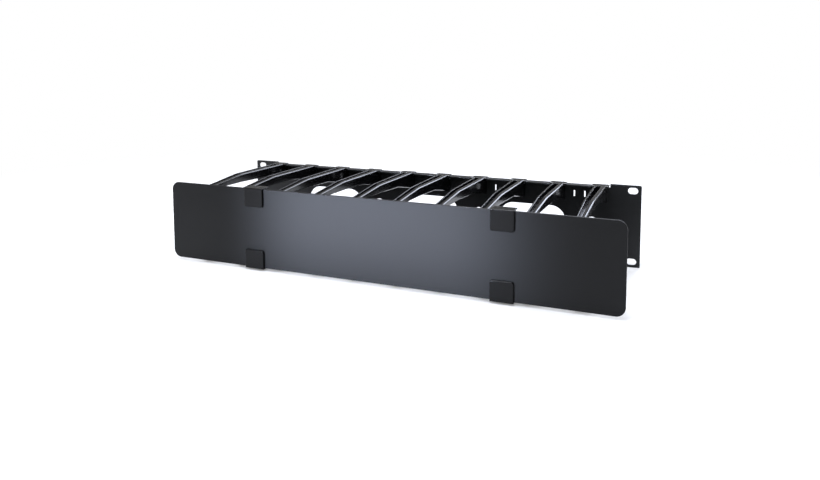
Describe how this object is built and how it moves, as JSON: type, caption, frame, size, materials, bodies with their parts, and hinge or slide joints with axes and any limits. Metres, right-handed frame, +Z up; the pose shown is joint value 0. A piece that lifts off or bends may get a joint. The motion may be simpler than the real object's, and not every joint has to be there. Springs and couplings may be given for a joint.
{
  "type": "horizontal cable manager",
  "caption": "Horizontal rack cable manager: a folded back plate with two rows of push-on fingers and a hinged front cover.",
  "frame": {"origin": "centre of the rack bolt pattern on the back plate's back face", "axes": "+X to the right seen from the front, +Y to the back, into the rack, +Z up; the cover faces -Y"},
  "size_m": [0.4826, 0.1586, 0.0882],
  "materials": {
    "coated_steel_plate": "fine textured black powder coat on folded steel sheet",
    "coated_steel_cover": "smooth satin black powder coat on flat steel sheet",
    "finger_plastic": "moulded black plastic, semi-matt",
    "clip_plastic": "moulded black plastic, satin",
    "rod_steel": "blackened steel rod"
  },
  "bodies": {
    "frame": {"back_plate": "coated_steel_plate", "finger_top_01": "finger_plastic", "finger_top_02": "finger_plastic", "finger_top_03": "finger_plastic", "finger_top_04": "finger_plastic", "finger_top_05": "finger_plastic", "finger_top_06": "finger_plastic", "finger_top_07": "finger_plastic", "finger_top_08": "finger_plastic", "finger_top_09": "finger_plastic", "finger_top_10": "finger_plastic", "finger_bottom_01": "finger_plastic", "finger_bottom_02": "finger_plastic", "finger_bottom_03": "finger_plastic", "finger_bottom_04": "finger_plastic", "finger_bottom_05": "finger_plastic", "finger_bottom_06": "finger_plastic", "finger_bottom_07": "finger_plastic", "finger_bottom_08": "finger_plastic", "finger_bottom_09": "finger_plastic", "finger_bottom_10": "finger_plastic", "hinge_rod_top_left": "rod_steel", "hinge_rod_top_right": "rod_steel", "hinge_rod_bottom_left": "rod_steel", "hinge_rod_bottom_right": "rod_steel"},
    "cover": {"cover": "coated_steel_cover", "cover_clip_top_left": "clip_plastic", "cover_clip_top_right": "clip_plastic", "cover_clip_bottom_left": "clip_plastic", "cover_clip_bottom_right": "clip_plastic"}
  },
  "joints": [
    {"name": "cover_hinge", "type": "hinge", "parent": "frame", "child": "cover", "pos_m": [0, -0.1472, 0.03313], "axis": [-1, 0, 0], "range_deg": [0, 90]}
  ]
}
